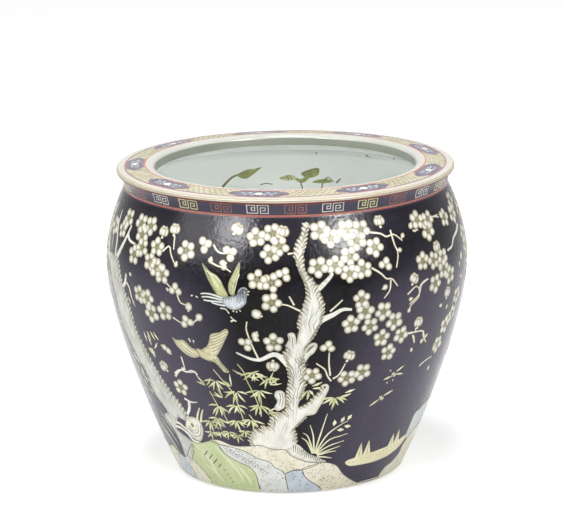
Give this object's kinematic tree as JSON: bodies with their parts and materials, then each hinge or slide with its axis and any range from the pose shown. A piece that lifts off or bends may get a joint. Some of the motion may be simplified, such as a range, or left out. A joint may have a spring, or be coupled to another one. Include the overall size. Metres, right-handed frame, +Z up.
{
  "type": "jardiniere planter",
  "caption": "Bellied porcelain fish-bowl planter on a turned foot ring, with a short collar, broad flat rim flange and rolled mouth lip, black enamel outside and pale glaze inside.",
  "frame": {"origin": "centre of the foot ring's resting face", "axes": "+Z up along the pot's axis; -Y faces the picture's camera"},
  "size_m": [0.4064, 0.4064, 0.351],
  "materials": {
    "biscuit_foot": "unglazed fired porcelain, matt, cream",
    "pale_glaze": "clear glossy glaze over white porcelain, faintly green",
    "black_enamel": "glossy black enamel with an aubergine tinge, softly pitted",
    "border_enamel": "painted border of black, cream-green and iron-red enamels with gilt lines, glossy"
  },
  "bodies": {
    "root": {"foot_ring": "biscuit_foot", "floor_disc": "pale_glaze", "lower_wall": "black_enamel", "belly_wall": "black_enamel", "shoulder_wall": "black_enamel", "collar": "black_enamel", "rim_flange": "border_enamel", "mouth_lip": "pale_glaze"}
  },
  "joints": []
}
